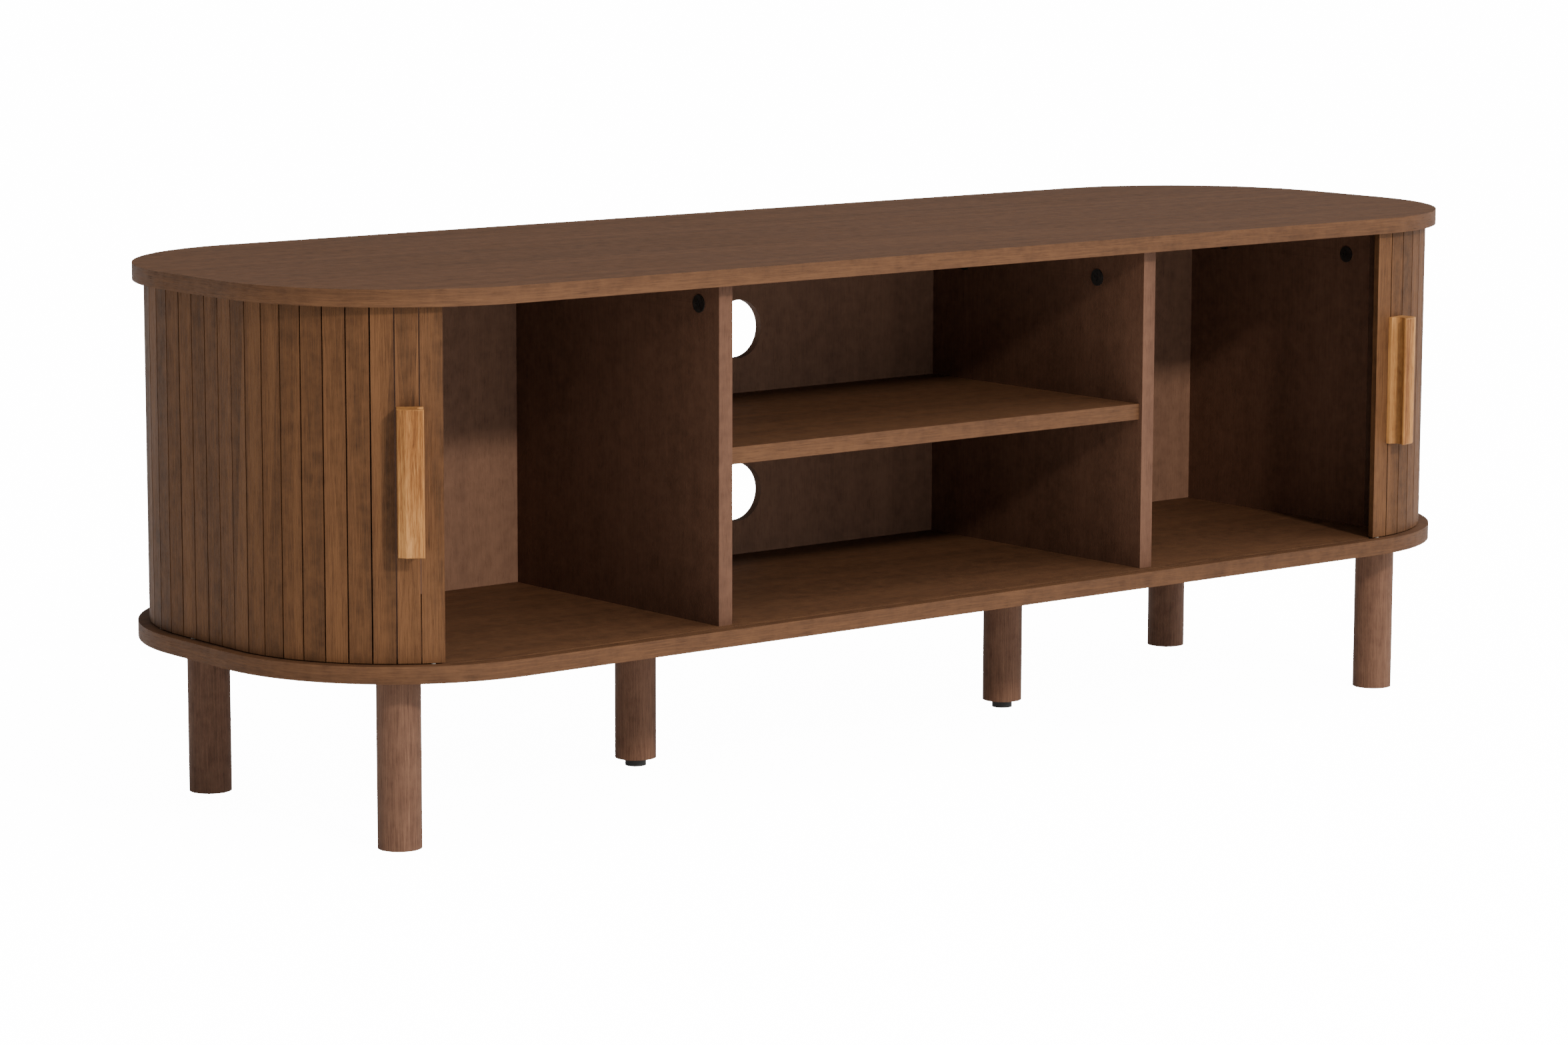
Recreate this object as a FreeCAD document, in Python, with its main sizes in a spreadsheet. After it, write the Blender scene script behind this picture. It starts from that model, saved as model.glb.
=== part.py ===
import math
import os

import FreeCAD, Part

# Media cabinet with two roller-slat doors. Millimetres. +Z is up, the front faces -Y.
# The origin is on the floor, under the middle of the cabinet.

doc = FreeCAD.newDocument("media_cabinet")
sheet = doc.addObject("Spreadsheet::Sheet", "Sizes")

SIZES = [
    ("overall_length", 1500),
    ("overall_depth", 490),
    ("overall_height", 518),
    ("board_thickness", 16),
    ("corner_radius", 195),
    ("leg_height", 162),
    ("leg_diameter", 41),
    ("corner_leg_end_inset", 112),
    ("corner_leg_side_inset", 84),
    ("middle_leg_spacing", 488),
    ("foot_height", 8),
    ("foot_diameter", 21),
    ("foot_stud_diameter", 8),
    ("foot_stud_length", 24),
    ("leg_bolt_diameter", 8),
    ("leg_bolt_in_board", 11),
    ("leg_bolt_in_leg", 34),
    ("upright_thickness", 16),
    ("middle_bay_width", 529),
    ("middle_bay_shift", 34),
    ("left_wall_inner_face", 630),
    ("right_wall_inner_face", 611),
    ("divider_front", 222),
    ("wall_front", 170),
    ("back_panel_front", 100),
    ("back_panel_thickness", 9),
    ("shelf_top", 346),
    ("shelf_front", 218),
    ("cable_hole_radius", 30),
    ("cable_hole_low", 243),
    ("cable_hole_high", 412),
    ("slat_pitch", 22),
    ("slat_gap", 1.3),
    ("slat_thickness", 7),
    ("slat_side_taper", 1.2),
    ("slat_end_clearance", 1.0),
    ("slat_count", 21),
    ("slat_inset", 11),
    ("left_lead_edge", 628),
    ("right_lead_edge", 557),
    ("groove_width", 5.4),
    ("groove_depth", 6),
    ("guide_diameter", 4.4),
    ("guide_in_slat", 9),
    ("guide_end_gap", 0.6),
    ("handle_width", 24),
    ("handle_toward_middle", 2.3),
    ("handle_depth", 22),
    ("handle_length", 134),
    ("handle_middle", 345),
    ("cove_half_height", 8),
    ("cove_depth", 6),
    ("handle_edge_round", 1.5),
    ("handle_facet_width", 7),
    ("handle_facet_depth", 4),
    ("handle_screw_spacing", 96),
    ("screw_diameter", 3.6),
    ("screw_head_diameter", 7),
    ("screw_head_height", 2.2),
    ("screw_in_handle", 8),
    ("cam_diameter", 15),
    ("cam_depth", 12.5),
    ("cam_drop", 33),
    ("left_divider_cam_drop", 21),
    ("cam_cover_diameter", 17),
    ("cam_cover_height", 1.2),
    ("cam_bolt_diameter", 6),
    ("cam_bolt_in_board", 10),
    ("cam_from_front", 34),
    ("left_divider_cam_from_front", 30),
    ("right_divider_cam_from_front", 68),
    ("cam_from_back", 50),
    ("dowel_diameter", 8),
    ("dowel_in_board", 9),
    ("dowel_in_panel", 20),
    ("dowel_from_cam", 32),
    ("panel_screw_diameter", 5),
    ("panel_screw_head", 9),
    ("panel_screw_head_height", 3),
    ("panel_screw_in_panel", 34),
    ("shelf_dowel_diameter", 6),
    ("shelf_dowel_in_divider", 10),
    ("shelf_dowel_in_shelf", 16),
    ("back_screw_diameter", 3.5),
    ("back_screw_head", 7),
    ("back_screw_head_height", 2),
    ("back_screw_in_panel", 16),
    ("bore_clearance", 0.15),
    ("end_clearance", 0.5),
    ("fit_gap", 0.2),
]

for row, (alias, value) in enumerate(SIZES, start=1):
    sheet.set("A%d" % row, alias)
    sheet.set("B%d" % row, str(value))
    sheet.setAlias("B%d" % row, alias)
doc.recompute()


def size(alias):
    return float(sheet.get(alias))


NODES = []


def bind(thing, **expressions):
    """Ties each named property of a document object to a sheet expression."""
    for key, text in expressions.items():
        prop = {"x": "Placement.Base.x", "y": "Placement.Base.y", "z": "Placement.Base.z"}.get(key, key)
        thing.setExpression(prop, text)
    return thing


def q(text):
    """Puts the sheet's name before every size named in braces."""
    return text.replace("{", "Sizes.").replace("}", "")


def box(name, length, width, height, x="0", y="0", z="0"):
    thing = doc.addObject("Part::Box", name)
    return bind(thing, Length=q(length), Width=q(width), Height=q(height), x=q(x), y=q(y), z=q(z))


AXES = {
    "z": FreeCAD.Rotation(),
    "x": FreeCAD.Rotation(FreeCAD.Vector(0, 1, 0), 90),
    "y": FreeCAD.Rotation(FreeCAD.Vector(1, 0, 0), -90),
}


def rod(name, radius, height, x="0", y="0", z="0", along="z"):
    """A cylinder that starts at x, y, z and runs along a positive axis."""
    thing = doc.addObject("Part::Cylinder", name)
    thing.Placement = FreeCAD.Placement(FreeCAD.Vector(0, 0, 0), AXES[along])
    return bind(thing, Radius=q(radius), Height=q(height), x=q(x), y=q(y), z=q(z))


def together(name, parts):
    thing = doc.addObject("Part::Compound", name)
    thing.Links = parts
    return thing


def cut(name, base, tools):
    tool = tools[0] if len(tools) == 1 else together(name + "_tools", tools)
    thing = doc.addObject("Part::Cut", name)
    thing.Base = base
    thing.Tool = tool
    return thing


def fuse(name, parts):
    thing = doc.addObject("Part::MultiFuse", name)
    thing.Shapes = parts
    return thing


def node(thing, label):
    thing.Label = label
    NODES.append(thing)
    return thing


def rounded(name, base, radius, pick):
    """Rounds the edges that pick accepts."""
    doc.recompute()
    thing = doc.addObject("Part::Fillet", name)
    thing.Base = base
    edges = []
    for number, edge in enumerate(base.Shape.Edges, start=1):
        if pick(edge):
            edges.append((number, radius, radius))
    thing.Edges = edges
    return thing


def upright_edge(edge):
    a, b = edge.Vertexes[0].Point, edge.Vertexes[-1].Point
    return abs(a.x - b.x) < 0.01 and abs(a.y - b.y) < 0.01 and abs(a.z - b.z) > 0.5


def stadium(name, inset, height, z):
    """A plate with the cabinet's plan shape, drawn in by inset on every side."""
    plain = box(
        name + "_plain",
        "{overall_length} - 2 * (%s)" % inset,
        "{overall_depth} - 2 * (%s)" % inset,
        height,
        "-{overall_length} / 2 + (%s)" % inset,
        "-{overall_depth} / 2 + (%s)" % inset,
        z,
    )
    drawn_in = {"0": 0.0}.get(inset)
    if drawn_in is None:
        middle = size("slat_inset") + size("slat_thickness") / 2
        half = size("groove_width") / 2
        drawn_in = middle - half if inset == GROOVE_OUTER else middle + half
    return rounded(name, plain, size("corner_radius") - drawn_in, upright_edge)


GROOVE_OUTER = "{slat_inset} + {slat_thickness} / 2 - {groove_width} / 2"
GROOVE_INNER = "{slat_inset} + {slat_thickness} / 2 + {groove_width} / 2"
BOTTOM_FACE = "{leg_height}"
FLOOR_FACE = "({leg_height} + {board_thickness})"
CEILING_FACE = "({overall_height} - {board_thickness})"
INNER_HEIGHT = "({overall_height} - {leg_height} - 2 * {board_thickness})"
# The middle bay stands a little to the left of the cabinet's middle.
LEFT_WALL_OUT = "({left_wall_inner_face} + {upright_thickness})"
RIGHT_WALL_OUT = "({right_wall_inner_face} + {upright_thickness})"
BAY_LEFT = "(-{middle_bay_shift} - {middle_bay_width} / 2)"
BAY_RIGHT = "(-{middle_bay_shift} + {middle_bay_width} / 2)"

# name, left face, front edge, cam behind the front edge, cam below the top board, left to right
UPRIGHTS = [
    ("left_inner_wall", "-" + LEFT_WALL_OUT, "{wall_front}", "{cam_from_front}", "{cam_drop}"),
    ("left_divider", BAY_LEFT + " - {upright_thickness}", "{divider_front}",
     "{left_divider_cam_from_front}", "{left_divider_cam_drop}"),
    ("right_divider", BAY_RIGHT, "{divider_front}", "{right_divider_cam_from_front}", "{cam_drop}"),
    ("right_inner_wall", "{right_wall_inner_face}", "{wall_front}", "{cam_from_front}", "{cam_drop}"),
]


def cam_rows(front, cam_in):
    """Where the two cams of an upright stand, front and back."""
    return [
        "-%s + %s" % (front, cam_in),
        "{back_panel_front} - {cam_from_back}",
    ]


def dowel_rows(front, cam_in):
    return [
        "-%s + %s + {dowel_from_cam}" % (front, cam_in),
        "{back_panel_front} - {cam_from_back} - {dowel_from_cam}",
    ]


def leg_places():
    x = "({overall_length} / 2 - {corner_leg_end_inset})"
    y = "({overall_depth} / 2 - {corner_leg_side_inset})"
    m = "{middle_leg_spacing} / 2"
    return [
        ("leg_front_left", "-" + x, "-" + y, False),
        ("leg_front_right", x, "-" + y, False),
        ("leg_back_left", "-" + x, y, False),
        ("leg_back_right", x, y, False),
        ("leg_middle_left", "-" + m, "0", True),
        ("leg_middle_right", m, "0", True),
    ]


def groove(name, z):
    outer = stadium(name + "_outer", GROOVE_OUTER, "{groove_depth}", z)
    inner = stadium(name + "_inner", GROOVE_INNER, "{groove_depth}", z)
    return cut(name, outer, [inner])


def top_board():
    plate = stadium("top_plate", "0", "{board_thickness}", CEILING_FACE)
    tools = [groove("top_groove", CEILING_FACE)]
    for name, left, front, cam_in, cam_down in UPRIGHTS:
        middle = "%s + {upright_thickness} / 2" % left
        for i, y in enumerate(cam_rows(front, cam_in)):
            tools.append(rod("top_cam_%s_%d" % (name, i), "{cam_bolt_diameter} / 2 + {bore_clearance}",
                             "{cam_bolt_in_board} + {end_clearance}", middle, y, CEILING_FACE))
        for i, y in enumerate(dowel_rows(front, cam_in)):
            tools.append(rod("top_dowel_%s_%d" % (name, i), "{dowel_diameter} / 2 + {bore_clearance}",
                             "{dowel_in_board} + {end_clearance}", middle, y, CEILING_FACE))
    node(cut("top_board", plate, tools), "top_board")


def bottom_board():
    plate = stadium("bottom_plate", "0", "{board_thickness}", BOTTOM_FACE)
    tools = [groove("bottom_groove", FLOOR_FACE + " - {groove_depth}")]
    for name, left, front, cam_in, cam_down in UPRIGHTS:
        middle = "%s + {upright_thickness} / 2" % left
        for i, y in enumerate(cam_rows(front, cam_in)):
            tools.append(rod("low_bore_%s_%d" % (name, i), "{panel_screw_diameter} / 2 + {bore_clearance}",
                             "{board_thickness} + 2", middle, y, "{leg_height} - 1"))
            tools.append(rod("low_head_%s_%d" % (name, i), "{panel_screw_head} / 2 + {bore_clearance}",
                             "{panel_screw_head_height} + {fit_gap} + 1", middle, y, "{leg_height} - 1"))
    for name, x, y, _ in leg_places():
        tools.append(rod("low_bolt_" + name, "{leg_bolt_diameter} / 2 + {bore_clearance}",
                         "{leg_bolt_in_board} + {end_clearance} + 1", x, y, "{leg_height} - 1"))
    node(cut("bottom_board", plate, tools), "bottom_board")


def upright(name, left, front, cam_in, cam_down):
    """A divider or an inner end wall, with the bores for all that fastens it."""
    plate = box(name + "_plate", "{upright_thickness}", "%s + {back_panel_front}" % front,
                INNER_HEIGHT, left, "-" + front, FLOOR_FACE)
    middle = "%s + {upright_thickness} / 2" % left
    drop = CEILING_FACE + " - " + cam_down
    tools = []
    for i, y in enumerate(cam_rows(front, cam_in)):
        tools.append(rod("%s_cam_%d" % (name, i), "{cam_diameter} / 2 + {bore_clearance}",
                         "{cam_depth} + {end_clearance} + 1", left + " - 1", y, drop, "x"))
        tools.append(rod("%s_bolt_%d" % (name, i), "{cam_bolt_diameter} / 2 + {bore_clearance}",
                         cam_down + " + 1", middle, y, drop))
        tools.append(rod("%s_screw_%d" % (name, i), "{panel_screw_diameter} / 2 + {bore_clearance}",
                         "{panel_screw_in_panel} + {end_clearance} + 1", middle, y, FLOOR_FACE + " - 1"))
    for i, y in enumerate(dowel_rows(front, cam_in)):
        tools.append(rod("%s_dowel_%d" % (name, i), "{dowel_diameter} / 2 + {bore_clearance}",
                         "{dowel_in_panel} + {end_clearance} + 1", middle, y,
                         CEILING_FACE + " - {dowel_in_panel} - {end_clearance}"))
    for i, z in enumerate(back_screw_rows()):
        for side, x in enumerate(back_screw_columns(name, left)):
            tools.append(rod("%s_back_%d_%d" % (name, i, side), "{back_screw_diameter} / 2 + {bore_clearance}",
                             "{back_screw_in_panel} + {end_clearance} + 1", x,
                             "{back_panel_front} - {back_screw_in_panel} - {end_clearance}", z, "y"))
    if name in ("left_divider", "right_divider"):
        start = left + " + {upright_thickness} - {shelf_dowel_in_divider} - {end_clearance}"
        if name == "right_divider":
            start = left + " - 1"
        for i, y in enumerate(shelf_dowel_rows()):
            tools.append(rod("%s_shelf_%d" % (name, i), "{shelf_dowel_diameter} / 2 + {bore_clearance}",
                             "{shelf_dowel_in_divider} + {end_clearance} + 1", start, y,
                             "{shelf_top} - {board_thickness} / 2", "x"))
    node(cut(name, plate, tools), name)


def back_screw_rows():
    return [FLOOR_FACE + " + 30", CEILING_FACE + " - 60"]


def back_screw_columns(name, left):
    """A back panel ends in the middle of each divider's edge, so a divider takes two columns."""
    if "divider" in name:
        return [left + " + {upright_thickness} / 4", left + " + 3 * {upright_thickness} / 4"]
    return [left + " + {upright_thickness} / 2"]


def shelf_dowel_rows():
    return ["-{shelf_front} + 60", "{back_panel_front} - 60"]


def shelf():
    plate = box("shelf_plate", "{middle_bay_width} - 2 * {fit_gap}",
                "{shelf_front} + {back_panel_front} - {fit_gap}", "{board_thickness}",
                BAY_LEFT + " + {fit_gap}", "-{shelf_front}", "{shelf_top} - {board_thickness}")
    tools = []
    deep = "{shelf_dowel_in_shelf} + {end_clearance} + 1"
    ends = [BAY_LEFT + " + {fit_gap} - 1",
            BAY_RIGHT + " - {fit_gap} - {shelf_dowel_in_shelf} - {end_clearance}"]
    for side, x in enumerate(ends):
        for i, y in enumerate(shelf_dowel_rows()):
            tools.append(rod("shelf_bore_%d_%d" % (side, i), "{shelf_dowel_diameter} / 2 + {bore_clearance}",
                             deep, x, y, "{shelf_top} - {board_thickness} / 2", "x"))
    node(cut("middle_shelf", plate, tools), "middle_shelf")


def back_panels():
    """Three thin panels screwed to the back edges of the uprights; the middle one has the cable holes."""
    left_split = BAY_LEFT + " - {upright_thickness} / 2"
    right_split = BAY_RIGHT + " + {upright_thickness} / 2"
    spans = [
        ("left_back_panel", "-" + LEFT_WALL_OUT, left_split + " - {fit_gap}"),
        ("middle_back_panel", left_split, right_split + " - {fit_gap}"),
        ("right_back_panel", right_split, RIGHT_WALL_OUT + " - {fit_gap}"),
    ]
    for name, start, end in spans:
        plate = box(name + "_plate", "(%s) - (%s)" % (end, start), "{back_panel_thickness}",
                    INNER_HEIGHT + " - 2 * {fit_gap}", start, "{back_panel_front}",
                    FLOOR_FACE + " + {fit_gap}")
        tools = []
        for number, x in back_screws_of(name):
            for i, z in enumerate(back_screw_rows()):
                tools.append(rod("%s_hole_%d_%d" % (name, number, i),
                                 "{back_screw_diameter} / 2 + {bore_clearance}",
                                 "{back_panel_thickness} + 2", x, "{back_panel_front} - 1", z, "y"))
                tools.append(rod("%s_sink_%d_%d" % (name, number, i),
                                 "{back_screw_head} / 2 + {bore_clearance}",
                                 "{back_screw_head_height} + {fit_gap} + 1", x,
                                 "{back_panel_front} + {back_panel_thickness} - {back_screw_head_height} - {fit_gap}",
                                 z, "y"))
        if name == "middle_back_panel":
            for z in ("cable_hole_low", "cable_hole_high"):
                tools.append(rod(z + "_bore", "{cable_hole_radius}", "{back_panel_thickness} + 2",
                                 "-{middle_bay_shift}", "{back_panel_front} - 1", "{%s}" % z, "y"))
        node(cut(name, plate, tools), name)


def back_screws_of(panel):
    """Number and x of the screw columns that hold one back panel."""
    found = []
    places = {"left_back_panel": [(0, 0), (1, 0)], "middle_back_panel": [(1, 1), (2, 0)],
              "right_back_panel": [(2, 1), (3, 0)]}
    for upright_number, column in places[panel]:
        name, left = UPRIGHTS[upright_number][:2]
        found.append((upright_number * 2 + column, back_screw_columns(name, left)[column]))
    return found


def legs():
    for name, x, y, adjustable in leg_places():
        start = "{foot_height}" if adjustable else "0"
        shaft = rod(name + "_shaft", "{leg_diameter} / 2", "{leg_height} - " + start, x, y, start)
        tools = [rod(name + "_bolt_bore", "{leg_bolt_diameter} / 2 + {bore_clearance}",
                     "{leg_bolt_in_leg} + {end_clearance} + 1", x, y,
                     "{leg_height} - {leg_bolt_in_leg} - {end_clearance}")]
        if adjustable:
            tools.append(rod(name + "_foot_bore", "{foot_stud_diameter} / 2 + {bore_clearance}",
                             "{foot_stud_length} + 8", x, y, "{foot_height} - 1"))
        node(cut(name, shaft, tools), name)
        if adjustable:
            side = name.split("_")[-1]
            pad = rod(name + "_pad", "{foot_diameter} / 2", "{foot_height} - {fit_gap}", x, y, "0")
            stud = rod(name + "_stud", "{foot_stud_diameter} / 2",
                       "{foot_stud_length} + {foot_height} - 2", x, y, "1")
            node(fuse(side + "_levelling_foot", [pad, stud]), side + "_levelling_foot")


def board_hardware():
    cams, covers, bolts, dowels, screws = [], [], [], [], []
    for name, left, front, cam_in, cam_down in UPRIGHTS:
        drop = CEILING_FACE + " - " + cam_down
        middle = "%s + {upright_thickness} / 2" % left
        for i, y in enumerate(cam_rows(front, cam_in)):
            tag = "%s_%d" % (name, i)
            drum = rod("cam_" + tag, "{cam_diameter} / 2", "{cam_depth}", left, y, drop, "x")
            seat = rod("cam_seat_" + tag, "{cam_bolt_diameter} / 2 + {bore_clearance}",
                       "{cam_diameter}", middle, y, drop + " - 1")
            cams.append(cut("cam_part_" + tag, drum, [seat]))
            cap = rod("cap_" + tag, "{cam_cover_diameter} / 2", "{cam_cover_height}",
                      left + " - {cam_cover_height}", y, drop, "x")
            slots = []
            for turn, (w, t) in enumerate((("8", "1.6"), ("1.6", "8"))):
                slots.append(box("slot_%s_%d" % (tag, turn), "0.8", w, t,
                                 left + " - {cam_cover_height} - 0.2", "%s - %s / 2" % (y, w),
                                 "%s - %s / 2" % (drop, t)))
            covers.append(cut("cap_part_" + tag, cap, slots))
            bolts.append(rod("bolt_" + tag, "{cam_bolt_diameter} / 2", cam_down + " + {cam_bolt_in_board}",
                             middle, y, drop))
            screw = rod("long_screw_" + tag, "{panel_screw_diameter} / 2",
                        "{panel_screw_in_panel} + {board_thickness} - 1", middle, y, "{leg_height} + 1")
            head = rod("long_head_" + tag, "{panel_screw_head} / 2", "{panel_screw_head_height}",
                       middle, y, "{leg_height}")
            screws.append(fuse("panel_screw_" + tag, [screw, head]))
        for i, y in enumerate(dowel_rows(front, cam_in)):
            dowels.append(rod("peg_%s_%d" % (name, i), "{dowel_diameter} / 2",
                              "{dowel_in_board} + {dowel_in_panel}", middle, y,
                              CEILING_FACE + " - {dowel_in_panel}"))
    node(together("cam_locks", cams), "cam_locks")
    node(together("cam_covers", covers), "cam_covers")
    node(together("cam_bolts", bolts), "cam_bolts")
    node(together("panel_dowels", dowels), "panel_dowels")
    node(together("panel_screws", screws), "panel_screws")


def small_hardware():
    leg_bolts = []
    for name, x, y, _ in leg_places():
        leg_bolts.append(rod("hanger_" + name, "{leg_bolt_diameter} / 2",
                             "{leg_bolt_in_board} + {leg_bolt_in_leg}", x, y,
                             "{leg_height} - {leg_bolt_in_leg}"))
    node(together("leg_bolts", leg_bolts), "leg_bolts")
    pegs = []
    starts = [BAY_LEFT + " - {shelf_dowel_in_divider}",
              BAY_RIGHT + " - {shelf_dowel_in_shelf}"]
    for side, x in enumerate(starts):
        for i, y in enumerate(shelf_dowel_rows()):
            pegs.append(rod("shelf_peg_%d_%d" % (side, i), "{shelf_dowel_diameter} / 2",
                            "{shelf_dowel_in_divider} + {shelf_dowel_in_shelf}", x, y,
                            "{shelf_top} - {board_thickness} / 2", "x"))
    node(together("shelf_dowels", pegs), "shelf_dowels")
    screws = []
    for panel in ("left_back_panel", "middle_back_panel", "right_back_panel"):
        for number, x in back_screws_of(panel):
            for i, z in enumerate(back_screw_rows()):
                tag = "%s_%d_%d" % (panel, number, i)
                shank = rod("back_shank_" + tag, "{back_screw_diameter} / 2",
                            "{back_screw_in_panel} + {back_panel_thickness} - 1", x,
                            "{back_panel_front} - {back_screw_in_panel}", z, "y")
                head = rod("back_head_" + tag, "{back_screw_head} / 2", "{back_screw_head_height}", x,
                           "{back_panel_front} + {back_panel_thickness} - {back_screw_head_height}", z, "y")
                screws.append(fuse("back_screw_" + tag, [shank, head]))
    node(together("back_panel_screws", screws), "back_panel_screws")


def door_path(run):
    """Point and facing angle on the doors' outer face, run mm from the middle of the front to the left."""
    inset = size("slat_inset")
    radius = size("corner_radius") - inset
    half_x = size("overall_length") / 2 - inset
    half_y = size("overall_depth") / 2 - inset
    straight = half_x - radius
    corner = radius * math.pi / 2
    side = 2 * (half_y - radius)
    if run < straight:
        return -run, -half_y, 0.0
    run -= straight
    if run < corner:
        angle = run / radius
        return (-straight - radius * math.sin(angle),
                -(half_y - radius) - radius * math.cos(angle), angle)
    run -= corner
    if run < side:
        return -half_x, -(half_y - radius) + run, math.pi / 2
    run -= side
    angle = run / radius
    return (-straight - radius * math.cos(angle),
            (half_y - radius) + radius * math.sin(angle), math.pi / 2 + angle)


def slat_placement(number, side):
    """side is -1 for the left door and 1 for the right one."""
    lead = size("left_lead_edge" if side < 0 else "right_lead_edge")
    run = lead + size("slat_pitch") * (number - 0.5)
    x, y, angle = door_path(run)
    base = size("leg_height") + size("board_thickness") + size("slat_end_clearance")
    turn = FreeCAD.Rotation(FreeCAD.Vector(0, 0, 1), math.degrees(angle) * side)
    return FreeCAD.Placement(FreeCAD.Vector(x * -side, y, base), turn)


SLAT_LENGTH = INNER_HEIGHT + " - 2 * {slat_end_clearance}"


def slat_blank(name):
    """A flat slat. Local +Y is inwards, Z is up, and its outer face is in the XZ plane."""
    thing = doc.addObject("Part::Wedge", name)
    half = "({slat_pitch} - {slat_gap}) / 2"
    bind(thing, Xmin=q("-" + half), Xmax=q(half), Ymin=q("0"), Ymax=q("{slat_thickness}"),
         Zmin=q("0"), Zmax=q(SLAT_LENGTH), X2min=q("-" + half + " + {slat_side_taper}"),
         X2max=q(half + " - {slat_side_taper}"), Z2min=q("0"), Z2max=q(SLAT_LENGTH))
    return thing


def slat(number, side, door):
    tag = "%s_%02d" % (door, number)
    shape = slat_blank("blank_" + tag)
    tools = []
    if number in GUIDED:
        for end, z in enumerate(("-1", SLAT_LENGTH + " - {guide_in_slat} - {end_clearance}")):
            tools.append(rod("guide_bore_%s_%d" % (tag, end), "{guide_diameter} / 2 + {bore_clearance}",
                             "{guide_in_slat} + {end_clearance} + 1", "0", "{slat_thickness} / 2", z))
    if number == HANDLE_SLAT:
        for end, z in enumerate(handle_screw_rows()):
            tools.append(rod("pull_bore_%s_%d" % (tag, end), "{screw_diameter} / 2 + {bore_clearance}",
                             "{slat_thickness} + 2", "0", "-1", z, "y"))
            tools.append(rod("pull_sink_%s_%d" % (tag, end), "{screw_head_diameter} / 2 + {bore_clearance}",
                             "{screw_head_height} + {fit_gap} + 1", "0",
                             "{slat_thickness} - {screw_head_height} - {fit_gap}", z, "y"))
    if tools:
        shape = cut("slat_shape_" + tag, shape, tools)
    shape.Placement = slat_placement(number, side)
    return shape


def handle_screw_rows():
    middle = "{handle_middle} - {leg_height} - {board_thickness} - {slat_end_clearance}"
    return [middle + " - {handle_screw_spacing} / 2", middle + " + {handle_screw_spacing} / 2"]


HANDLE_SLAT = 2
# The first slat past the front corner, from which on a door keeps its shape as it closes.
FIRST_RIGID = {"left": 11, "right": 14}
GUIDED = (1, 14, 17, 20)


def handle(side, door):
    """A hardwood finger pull, coved on the side that faces the middle and sloped off on the other.

    It sits a little towards the door's leading edge, so that the third slat, which stands proud of
    the second as the door goes round the corner, passes beside it.
    """
    aside = " - {handle_toward_middle}" if side > 0 else " + {handle_toward_middle}"
    low = "{handle_middle} - {handle_length} / 2 - {leg_height} - {board_thickness} - {slat_end_clearance}"
    block = box("pull_block_" + door, "{handle_width}", "{handle_depth}", "{handle_length}",
                "-{handle_width} / 2" + aside, "-{handle_depth}", low)
    facet = doc.addObject("Part::Wedge", "pull_facet_" + door)
    edge_x = ["-{handle_width} / 2 - 1", "-{handle_width} / 2 + {handle_facet_width}",
              "-{handle_width} / 2 - 1", "-{handle_width} / 2"]
    if side > 0:
        edge_x = ["{handle_width} / 2 - {handle_facet_width}", "{handle_width} / 2 + 1",
                  "{handle_width} / 2", "{handle_width} / 2 + 1"]
    edge_x = [x + aside for x in edge_x]
    bind(facet, Xmin=q(edge_x[0]), Xmax=q(edge_x[1]), X2min=q(edge_x[2]), X2max=q(edge_x[3]),
         Ymin=q("-{handle_depth}"), Ymax=q("-{handle_depth} + {handle_facet_depth}"),
         Zmin=q(low + " - 1"), Zmax=q(low + " + {handle_length} + 1"),
         Z2min=q(low + " - 1"), Z2max=q(low + " + {handle_length} + 1"))
    block = cut("pull_faceted_" + door, block, [facet])
    outer = rounded("pull_round_" + door, block, size("handle_edge_round"),
                    lambda edge: edge.BoundBox.YMax < -size("handle_facet_depth") - 0.5)
    across = "({cove_half_height} * {cove_half_height} + {cove_depth} * {cove_depth}) / (2 * {cove_depth})"
    away = "%s({handle_width} / 2 - {cove_depth} + %s)" % ("-" if side > 0 else "", across) + aside
    cove = rod("pull_cove_" + door, across, "{handle_length} + 2", away, "-{handle_depth} / 2 - 0.5",
               low + " - 1")
    tools = [cove]
    for end, z in enumerate(handle_screw_rows()):
        tools.append(rod("pull_pilot_%s_%d" % (door, end), "{screw_diameter} / 2 + {bore_clearance}",
                         "{screw_in_handle} + {end_clearance} + 1", "0",
                         "-{screw_in_handle} - {end_clearance}", z, "y"))
    shape = cut(door + "_handle", outer, tools)
    shape.Placement = slat_placement(HANDLE_SLAT, side)
    node(shape, door + "_handle")


def handle_screws(side, door):
    screws = []
    for end, z in enumerate(handle_screw_rows()):
        shank = rod("pull_shank_%s_%d" % (door, end), "{screw_diameter} / 2",
                    "{screw_in_handle} + {slat_thickness} - 1", "0", "-{screw_in_handle}", z, "y")
        head = rod("pull_head_%s_%d" % (door, end), "{screw_head_diameter} / 2", "{screw_head_height}",
                   "0", "{slat_thickness} - {screw_head_height}", z, "y")
        screws.append(fuse("pull_screw_%s_%d" % (door, end), [shank, head]))
    group = together(door + "_handle_screws", screws)
    group.Placement = slat_placement(HANDLE_SLAT, side)
    node(group, door + "_handle_screws")


def guides(numbers, side, door, label):
    """Nylon pins that stand out of the slats' ends into the two track grooves."""
    pins = []
    reach = "({slat_end_clearance} + {groove_depth} - {guide_end_gap})"
    for number in numbers:
        ends = (("low", "-" + reach), ("high", SLAT_LENGTH + " - {guide_in_slat}"))
        for end, z in ends:
            pin = rod("guide_%s_%02d_%s" % (door, number, end), "{guide_diameter} / 2",
                      "{guide_in_slat} + " + reach, "0", "{slat_thickness} / 2", z)
            holder = together("guide_place_%s_%02d_%s" % (door, number, end), [pin])
            holder.Placement = slat_placement(number, side)
            pins.append(holder)
    node(together(label, pins), label)


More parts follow.
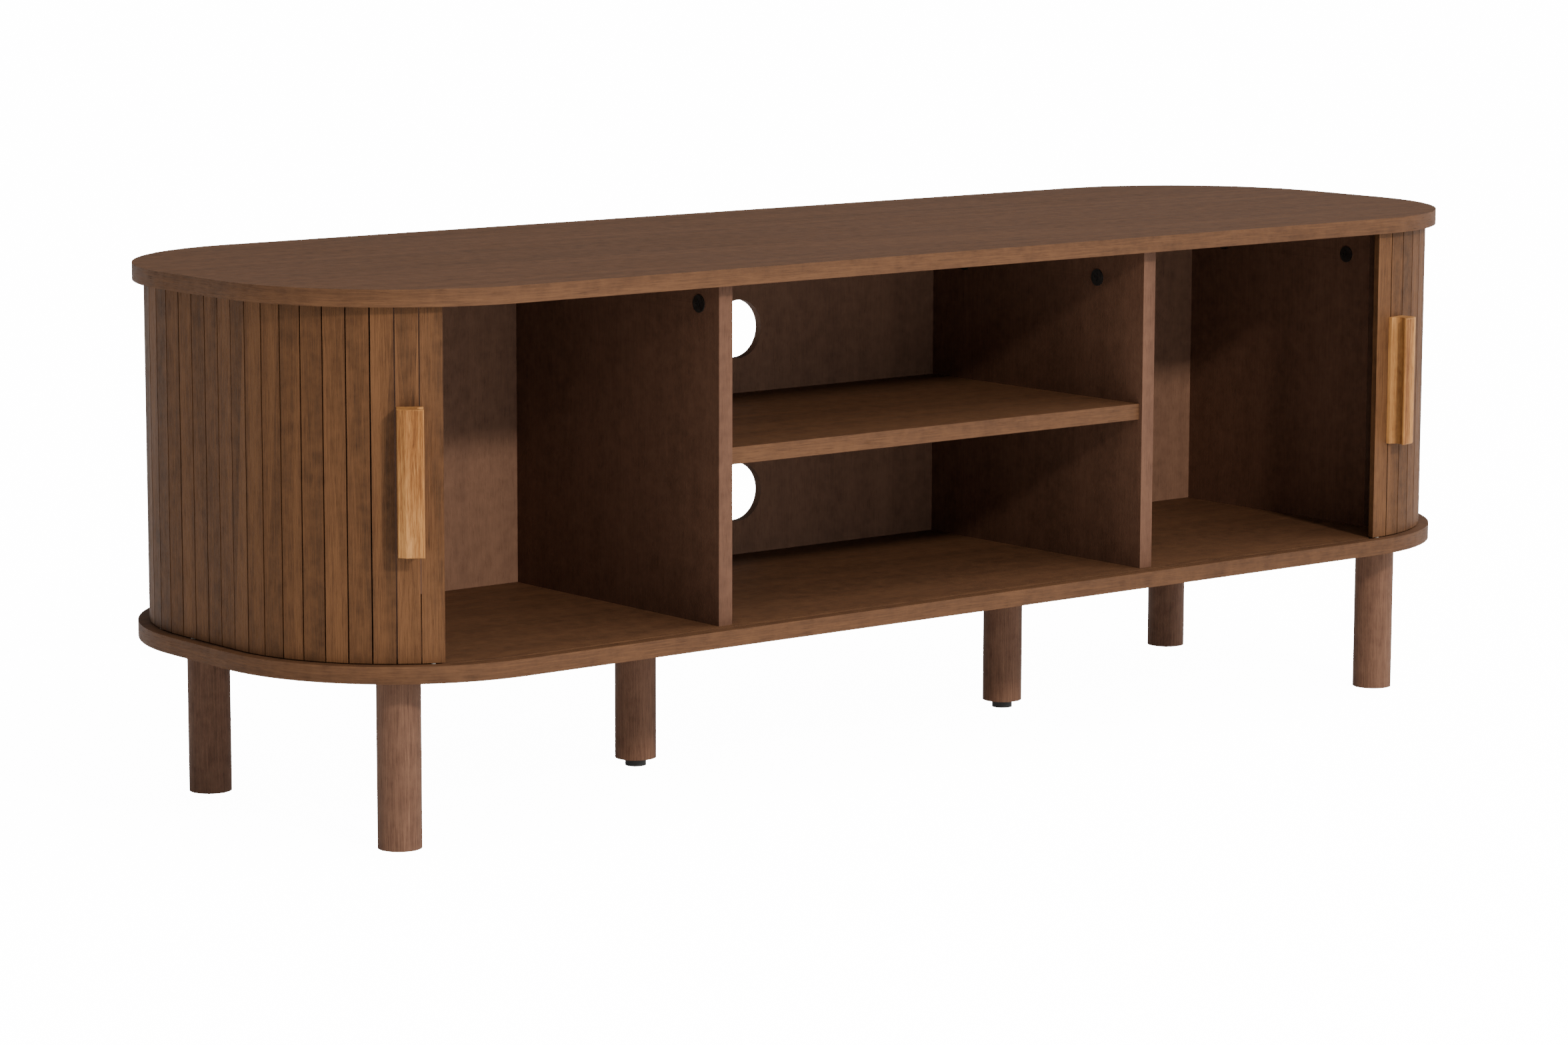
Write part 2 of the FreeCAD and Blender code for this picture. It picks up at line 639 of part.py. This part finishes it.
def door(side, name):
    first = FIRST_RIGID[name]
    for number in range(1, first):
        node(slat(number, side, name), "%s_slat_%02d" % (name, number))
    tail = []
    for number in range(first, int(size("slat_count")) + 1):
        tail.append(slat(number, side, name))
    node(together(name + "_tail_slats", tail), name + "_tail_slats")
    handle(side, name)
    handle_screws(side, name)
    guides([1], side, name, name + "_lead_guides")
    guides([n for n in GUIDED if n >= first], side, name, name + "_tail_guides")


top_board()
bottom_board()
for row in UPRIGHTS:
    upright(*row)
shelf()
back_panels()
legs()
board_hardware()
small_hardware()
door(-1, "left")
door(1, "right")
doc.recompute()

for thing in doc.Objects:
    if "Invalid" in thing.State or "Error" in thing.State:
        raise SystemExit("%s is %s" % (thing.Name, thing.State))

os.makedirs("parts", exist_ok=True)
for thing in NODES:
    if thing.Shape.isNull() or not thing.Shape.isValid():
        raise SystemExit("%s has no sound shape" % thing.Label)
    thing.Shape.exportStep("parts/%s.step" % thing.Label)
    print(thing.Label, len(thing.Shape.Solids), round(thing.Shape.Volume))
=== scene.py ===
import math

import bmesh
import bpy
from mathutils import Matrix, Vector

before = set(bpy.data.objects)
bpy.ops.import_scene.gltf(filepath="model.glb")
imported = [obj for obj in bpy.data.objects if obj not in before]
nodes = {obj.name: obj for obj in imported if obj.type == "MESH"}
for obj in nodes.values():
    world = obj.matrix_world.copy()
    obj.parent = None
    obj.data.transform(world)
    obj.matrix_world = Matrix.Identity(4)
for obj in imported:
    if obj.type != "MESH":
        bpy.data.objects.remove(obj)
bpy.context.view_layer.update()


# ---------------------------------------------------------------- top board and bottom board
# Two 16 mm particle boards faced with walnut laminate, cut to one outline with round ends.
# The top sits on cam bolts and dowels, the bottom is screwed from below. A strip of the same
# laminate is ironed round the edge, with its grain running along the strip.

def paint(code):
    """A colour written as sRGB hex, turned linear."""
    values = [int(code[i:i + 2], 16) / 255 for i in (1, 3, 5)]
    return [v / 12.92 if v <= 0.04045 else ((v + 0.055) / 1.055) ** 2.4 for v in values] + [1.0]


def add(tree, kind, settings=None, links=None):
    """One shader node: settings are its properties or socket values, links its fed sockets."""
    made = tree.nodes.new(kind)
    for key, value in (settings or {}).items():
        if isinstance(key, str) and hasattr(made, key):
            setattr(made, key, value)
        else:
            made.inputs[key].default_value = value
    for key, source in (links or {}).items():
        tree.links.new(source, made.inputs[key])
    return made


def ramp(tree, source, stops):
    """A colour ramp through (position, colour) stops."""
    made = add(tree, "ShaderNodeValToRGB", links={"Fac": source})
    points = made.color_ramp.elements
    while len(points) < len(stops):
        points.new(0.5)
    for point, (place, colour) in zip(points, stops):
        point.position = place
        point.color = colour if not isinstance(colour, float) else (colour, colour, colour, 1)
    return made.outputs["Color"]


def maths(tree, operation, a, b=None, c=None, clamp=False):
    made = add(tree, "ShaderNodeMath", {"operation": operation, "use_clamp": clamp})
    for slot_number, value in enumerate((a, b, c)):
        if value is None:
            continue
        if isinstance(value, (int, float)):
            made.inputs[slot_number].default_value = value
        else:
            tree.links.new(value, made.inputs[slot_number])
    return made.outputs[0]


def blend_colour(tree, mode, amount, a, b):
    made = add(tree, "ShaderNodeMix", {"data_type": "RGBA", "blend_type": mode, "clamp_result": True})
    for slot_number, value in ((0, amount), (6, a), (7, b)):
        if isinstance(value, (int, float)):
            made.inputs[slot_number].default_value = value
        elif isinstance(value, (list, tuple)):
            made.inputs[slot_number].default_value = value
        else:
            tree.links.new(value, made.inputs[slot_number])
    return made.outputs[2]


def fresh(name):
    """An empty material with a Principled shader on its output."""
    material = bpy.data.materials.new(name)
    material.use_nodes = True
    tree = material.node_tree
    tree.nodes.clear()
    shader = add(tree, "ShaderNodeBsdfPrincipled")
    add(tree, "ShaderNodeOutputMaterial", links={"Surface": shader.outputs[0]})
    return material, tree, shader


def wood(name, dark, middle, light, along, edge_along=None, figure=1.0, varied=0.0, gloss=0.6, relief=1.0,
         broad=0.5, fine=0.95):
    """Straight-grained veneer: 9 mm colour bands, 1.6 mm fibres, 0.5 mm pores and a slow drift of tone.
    along is the squeeze per axis in the grain's space: 1 across the grain, small along it.
    broad and fine are how strongly the bands and the fibres show."""
    material, tree, shader = fresh(name)
    place = add(tree, "ShaderNodeTexCoord").outputs["Object"]
    squeezed = add(tree, "ShaderNodeMapping", {"Scale": along}, {"Vector": place}).outputs[0]
    if edge_along:
        # the narrow edges have their own strip of veneer
        normal = add(tree, "ShaderNodeNewGeometry").outputs["Normal"]
        facing = add(tree, "ShaderNodeSeparateXYZ", links={0: normal}).outputs["Z"]
        flat = maths(tree, "GREATER_THAN", maths(tree, "ABSOLUTE", facing), 0.7)
        strip = add(tree, "ShaderNodeMapping",
                    {"Scale": edge_along, "Location": (0.7, 0.31, 0.13)},
                    {"Vector": place}).outputs[0]
        chosen = add(tree, "ShaderNodeMix", {"data_type": "VECTOR"}, {0: flat, 4: strip, 5: squeezed})
        squeezed = chosen.outputs[1]
    if varied:
        # each slat is cut from another place in the veneer
        own = add(tree, "ShaderNodeNewGeometry").outputs["Random Per Island"]
        told = add(tree, "ShaderNodeObjectInfo").outputs["Random"]
        chance = maths(tree, "FRACT", maths(tree, "ADD", maths(tree, "MULTIPLY", told, 7.31), own))
        jump = add(tree, "ShaderNodeCombineXYZ", links={
            0: maths(tree, "MULTIPLY", chance, 3.7),
            1: maths(tree, "MULTIPLY", chance, 2.3),
            2: maths(tree, "MULTIPLY", chance, 1.9)})
        squeezed = add(tree, "ShaderNodeVectorMath", {"operation": "ADD"},
                       {0: squeezed, 1: jump.outputs[0]}).outputs[0]

    def noise(size_mm, detail, rough, distortion=0.0, source=squeezed):
        settings = {"Scale": 1000 / size_mm, "Detail": detail, "Roughness": rough,
                    "Distortion": distortion}
        return add(tree, "ShaderNodeTexNoise", settings, {"Vector": source}).outputs[0]

    drift = noise(70, 2, 0.5)
    bands = noise(9, 3, 0.55, 0.4)
    fibres = noise(1.4, 4, 0.7)
    pores = noise(0.55, 2, 0.5)
    wave = {"wave_type": "BANDS", "bands_direction": "DIAGONAL", "Scale": 9.0,
            "Distortion": 14.0, "Detail": 2.0, "Detail Scale": 1.1}
    rings = add(tree, "ShaderNodeTexWave", wave, {"Vector": squeezed}).outputs[1]
    tone = maths(tree, "MULTIPLY_ADD", drift, 0.45, -0.22)
    tone = maths(tree, "MULTIPLY_ADD", maths(tree, "SUBTRACT", bands, 0.5), broad, tone)
    tone = maths(tree, "MULTIPLY_ADD", maths(tree, "SUBTRACT", fibres, 0.5), fine, tone)
    tone = maths(tree, "MULTIPLY_ADD", maths(tree, "SUBTRACT", rings, 0.5), 0.16 * figure, tone)
    if varied:
        tone = maths(tree, "MULTIPLY_ADD", maths(tree, "SUBTRACT", chance, 0.5), varied, tone)
    tone = maths(tree, "ADD", tone, 0.5, clamp=True)
    colour = ramp(tree, tone, [(0.12, paint(dark)), (0.5, paint(middle)), (0.9, paint(light))])
    pits = ramp(tree, pores, [(0.34, 1.0), (0.43, 0.0)])
    colour = blend_colour(tree, "MULTIPLY", maths(tree, "MULTIPLY", pits, 0.38), colour, paint("#6e5546"))
    # painted highlight: sharp arrises are blended towards the pale colour in patches, standing in for the light
    # they catch
    arris_highlight = ramp(tree, add(tree, "ShaderNodeNewGeometry").outputs["Pointiness"], [(0.51, 0.0), (0.57, 1.0)])
    arris_highlight = maths(tree, "MULTIPLY", arris_highlight, maths(tree, "MULTIPLY", noise(14, 2, 0.6, source=place), 0.8))
    colour = blend_colour(tree, "MIX", arris_highlight, colour, paint(light))
    tree.links.new(colour, shader.inputs["Base Color"])
    dull = maths(tree, "MULTIPLY_ADD", maths(tree, "SUBTRACT", fibres, 0.5), 0.22, gloss)
    dull = maths(tree, "MULTIPLY_ADD", pits, 0.16, dull)
    cloud = maths(tree, "SUBTRACT", noise(120, 3, 0.6, source=place), 0.5)
    dull = maths(tree, "MULTIPLY_ADD", cloud, 0.14, dull, clamp=True)
    tree.links.new(dull, shader.inputs["Roughness"])
    shader.inputs["Specular IOR Level"].default_value = 0.12
    height = maths(tree, "MULTIPLY_ADD", pits, -0.7, maths(tree, "MULTIPLY", fibres, 0.55))
    bump = add(tree, "ShaderNodeBump", {"Strength": 0.5 * relief, "Distance": 0.00025}, {"Height": height})
    tree.links.new(bump.outputs[0], shader.inputs["Normal"])
    return material


def dress(name, material, arris=0.0):
    """Gives a carried-over node its finish, and eases its sharp edges by arris metres."""
    thing = nodes[name]
    thing.data.materials.clear()
    thing.data.materials.append(material)
    if arris:
        eased = thing.modifiers.new("eased_arris", "BEVEL")
        eased.width = arris
        eased.segments = 2
        eased.limit_method = "ANGLE"
        eased.angle_limit = math.radians(50)
        eased.harden_normals = False
    return thing


# Laminated board, walnut print: brown with low contrast on the flat, streaky on the edge strip,
# with a satin lacquer that catches the light along the arris, helped by a painted highlight on the arrises.
walnut_laminate = wood("walnut_laminate_satin", "#24170e", "#432c1d", "#62442d",
                       (0.035, 1, 1), (0.035, 0.035, 1), figure=0.8, gloss=0.60, broad=0.35, fine=1.2)
for board in ("top_board", "bottom_board"):
    dress(board, walnut_laminate, 0.0005)


# ---------------------------------------------------------------- dividers, inner end walls and shelf
# Four uprights of 16 mm laminated board, standing between top and bottom on dowels, with a cam
# lock at the top and a long screw from below. The shelf hangs between the two dividers on dowels.
walnut_upright = wood("walnut_laminate_upright", "#2f2017", "#4c3427", "#694b3a",
                      (1, 1, 0.035), figure=0.5, gloss=0.60, broad=0.18, fine=0.55)
for panel in ("left_inner_wall", "left_divider", "right_divider", "right_inner_wall"):
    dress(panel, walnut_upright, 0.0005)
dress("middle_shelf", walnut_laminate, 0.0005)


# ---------------------------------------------------------------- back panels
# Three 9 mm panels screwed to the back edges of the uprights. The middle one has two 60 mm cable
# holes, whose cut edge shows the same dark foil.
walnut_foil = wood("walnut_foil_matt", "#45312a", "#644a3b", "#80614e",
                   (1, 1, 0.04), figure=0.8, gloss=0.66, relief=0.7, broad=0.2, fine=0.5)
for panel in ("left_back_panel", "middle_back_panel", "right_back_panel"):
    dress(panel, walnut_foil, 0.0003)


# ---------------------------------------------------------------- legs and levelling feet
# Six turned legs, 41 mm thick, each on a hanger bolt in the bottom board. The two middle legs
# carry a black nylon foot on a threaded stud, which screws in and out to meet the floor.
walnut_turned = wood("walnut_stained_turned", "#2a1a10", "#50362a", "#715442",
                     (1, 1, 0.03), figure=0.6, gloss=0.60, relief=1.2, broad=0.35, fine=1.5)
for row in ("front", "back", "middle"):
    for side in ("left", "right"):
        dress("leg_%s_%s" % (row, side), walnut_turned, 0.0008)


def plastic(name, colour, gloss, grain_mm, relief):
    """Moulded plastic: a fine spark-eroded grain, faint scuffs and a soft uneven sheen."""
    material, tree, shader = fresh(name)
    place = add(tree, "ShaderNodeTexCoord").outputs["Object"]
    grain = add(tree, "ShaderNodeTexNoise",
                {"Scale": 1000 / grain_mm, "Detail": 3.0, "Roughness": 0.6},
                {"Vector": place}).outputs[0]
    scuff = add(tree, "ShaderNodeTexNoise",
                {"Scale": 1000 / 6, "Detail": 4.0, "Roughness": 0.7, "Distortion": 1.2},
                {"Vector": place}).outputs[0]
    lifted = [min(1.0, v * 1.6 + 0.01) for v in paint(colour)[:3]] + [1.0]
    tint = blend_colour(tree, "MIX", ramp(tree, scuff, [(0.45, 0.0), (0.8, 1.0)]), paint(colour), lifted)
    tree.links.new(tint, shader.inputs["Base Color"])
    dull = maths(tree, "MULTIPLY_ADD", maths(tree, "SUBTRACT", scuff, 0.5), 0.3, gloss, clamp=True)
    tree.links.new(dull, shader.inputs["Roughness"])
    shader.inputs["Specular IOR Level"].default_value = 0.4
    bump = add(tree, "ShaderNodeBump", {"Strength": relief, "Distance": 0.00006}, {"Height": grain})
    tree.links.new(bump.outputs[0], shader.inputs["Normal"])
    return material


black_nylon = plastic("nylon_black_moulded", "#141414", 0.5, 0.35, 0.6)
for foot in ("left_levelling_foot", "right_levelling_foot"):
    dress(foot, black_nylon, 0.0006)


# ---------------------------------------------------------------- roller-slat doors
# Each door is 21 flat slats, 7 mm thick on a 22 mm pitch, cut from veneered strip and glued side
# by side on canvas. The slats run round the end of the cabinet in the two track grooves.
walnut_slat = wood("walnut_veneer_slat", "#26180e", "#452c19", "#64442a",
                   (1, 1, 0.03), figure=1.8, varied=0.34, gloss=0.60, relief=1.3, broad=0.5, fine=1.6)
# each side's first slat that belongs to the tail, which keeps its shape as the door moves
SIDES = {"left": 11, "right": 14}
for side, first_rigid in SIDES.items():
    for number in range(1, first_rigid):
        dress("%s_slat_%02d" % (side, number), walnut_slat, 0.0006)
    dress(side + "_tail_slats", walnut_slat, 0.0006)


# Four slats of each door have a white nylon pin in both ends, which slides in the track.
white_nylon = plastic("nylon_natural_moulded", "#d8d4c8", 0.4, 0.3, 0.3)
for side in SIDES:
    for set_name in ("lead_guides", "tail_guides"):
        dress("%s_%s" % (side, set_name), white_nylon, 0.0003)


# ---------------------------------------------------------------- handles
# A block of oiled acacia with a finger cove down one side, held to the second slat by two
# countersunk screws from behind. Paler and yellower than the veneer, with a tight upright grain.
acacia_oiled = wood("acacia_oiled_sanded", "#45220f", "#7c5029", "#aa7b48",
                    (1, 1, 0.05), figure=2.0, gloss=0.52, relief=1.0, broad=1.0, fine=1.1)
for side in SIDES:
    dress(side + "_handle", acacia_oiled, 0.0003)


# ---------------------------------------------------------------- cam locks, covers, bolts, screws
# Die-cast cam drums sit in the uprights' left faces under black plastic covers with a cross slot.
# Their bolts, the long panel screws, leg bolts and back screws are zinc-plated steel.
black_cap = plastic("polypropylene_black_cap", "#171513", 0.42, 0.4, 0.4)
dress("cam_covers", black_cap, 0.0002)


def zinc(name):
    """Bright zinc plate with a faint blue-yellow passivation and fine drawing lines."""
    material, tree, shader = fresh(name)
    place = add(tree, "ShaderNodeTexCoord").outputs["Object"]
    cloud = add(tree, "ShaderNodeTexNoise",
                {"Scale": 1000 / 5, "Detail": 3.0, "Roughness": 0.6},
                {"Vector": place}).outputs[0]
    drawn = add(tree, "ShaderNodeMapping", {"Scale": (1, 1, 0.05)}, {"Vector": place}).outputs[0]
    line = add(tree, "ShaderNodeTexNoise", {"Scale": 1000 / 0.3, "Detail": 2.0},
               {"Vector": drawn}).outputs[0]
    plate = ramp(tree, cloud, [(0.3, paint("#b7b9b6")), (0.6, paint("#c9c8bd")), (0.8, paint("#a9adb2"))])
    tree.links.new(plate, shader.inputs["Base Color"])
    shader.inputs["Metallic"].default_value = 1.0
    dull = maths(tree, "MULTIPLY_ADD", maths(tree, "SUBTRACT", cloud, 0.5), 0.3, 0.34, clamp=True)
    tree.links.new(dull, shader.inputs["Roughness"])
    bump = add(tree, "ShaderNodeBump", {"Strength": 0.35, "Distance": 0.00005}, {"Height": line})
    tree.links.new(bump.outputs[0], shader.inputs["Normal"])
    return material


zinc_plate = zinc("steel_zinc_plated")
for hardware in ("cam_locks", "cam_bolts", "panel_screws", "leg_bolts", "back_panel_screws",
                 "left_handle_screws", "right_handle_screws"):
    dress(hardware, zinc_plate, 0.0002)
beech = wood("beech_fluted", "#a27a50", "#c79f70", "#dcbc90", (1, 1, 0.05), figure=0.4, gloss=0.65)
for pegs in ("panel_dowels", "shelf_dowels"):
    dress(pegs, beech, 0.0004)


# ---------------------------------------------------------------- floor, light and camera
# A plain white studio: a pale floor that meets a white surround, one soft light in front and
# above, a surround that is dim behind, and a long lens at the height of a seated person.
floor_material, floor_tree, floor_shader = fresh("studio_floor_white")
floor_shader.inputs["Base Color"].default_value = paint("#f7f7f7")
floor_shader.inputs["Roughness"].default_value = 1.0
floor_shader.inputs["Specular IOR Level"].default_value = 0.0
floor_shader.inputs["Emission Color"].default_value = paint("#ffffff")
seen = add(floor_tree, "ShaderNodeLightPath").outputs["Is Camera Ray"]
floor_tree.links.new(maths(floor_tree, "MULTIPLY_ADD", seen, 14.0, 0.35), floor_shader.inputs["Emission Strength"])
floor_mesh = bpy.data.meshes.new("studio_floor")
shape = bmesh.new()
half_floor = 40
corners = [shape.verts.new((x * half_floor, y * half_floor, 0))
           for x, y in ((-1, -1), (1, -1), (1, 1), (-1, 1))]
shape.faces.new(corners)
shape.to_mesh(floor_mesh)
shape.free()
floor_mesh.materials.append(floor_material)
floor = bpy.data.objects.new("studio_floor", floor_mesh)
bpy.context.scene.collection.objects.link(floor)

world = bpy.data.worlds.new("white_surround")
world.use_nodes = True
sky = world.node_tree
# brightest in front, to the right and overhead, dim on the left and behind
brightest_way = (0.42, -0.60, 0.68)
looking = add(sky, "ShaderNodeTexCoord").outputs["Generated"]
towards = add(sky, "ShaderNodeVectorMath", {"operation": "DOT_PRODUCT", 1: brightest_way},
              {0: looking}).outputs["Value"]
surround = ramp(sky, towards, [(0.05, 0.09), (0.55, 0.36), (0.95, 1.0)])
sky.links.new(surround, sky.nodes["Background"].inputs["Color"])
sky.nodes["Background"].inputs["Strength"].default_value = 2.6
bpy.context.scene.world = world


def soft_light(name, place, target, width, height, power, colour):
    lamp = bpy.data.lights.new(name, "AREA")
    lamp.shape = "RECTANGLE"
    lamp.size, lamp.size_y = width, height
    lamp.energy = power
    lamp.color = paint(colour)[:3]
    holder = bpy.data.objects.new(name, lamp)
    bpy.context.scene.collection.objects.link(holder)
    holder.location = place
    holder.rotation_euler = (Vector(target) - Vector(place)).to_track_quat("-Z", "Y").to_euler()
    return holder


soft_light("key_softbox", (-0.5, -4.6, 2.8), (0, 0, 0.3), 0.35, 0.35, 200, "#fff3e6")

heading, tilt, roll = math.radians(39.222), math.radians(8.781), math.radians(0.154)
ahead = Vector((math.sin(heading) * math.cos(tilt), math.cos(heading) * math.cos(tilt), -math.sin(tilt)))
across = Vector((math.cos(heading), -math.sin(heading), 0))
upward = across.cross(ahead)
right = across * math.cos(roll) + upward * math.sin(roll)
up = upward * math.cos(roll) - across * math.sin(roll)
lens = bpy.data.cameras.new("long_lens")
lens.sensor_fit = "HORIZONTAL"
lens.sensor_width = 36
lens.lens = 106.73
lens.clip_start, lens.clip_end = 0.1, 100
lens.dof.use_dof = False
camera = bpy.data.objects.new("long_lens", lens)
bpy.context.scene.collection.objects.link(camera)
standpoint = Matrix.Translation((-2.99399, -3.60133, 0.943354))
camera.matrix_world = standpoint @ Matrix((right, up, -ahead)).transposed().to_4x4()
bpy.context.scene.camera = camera
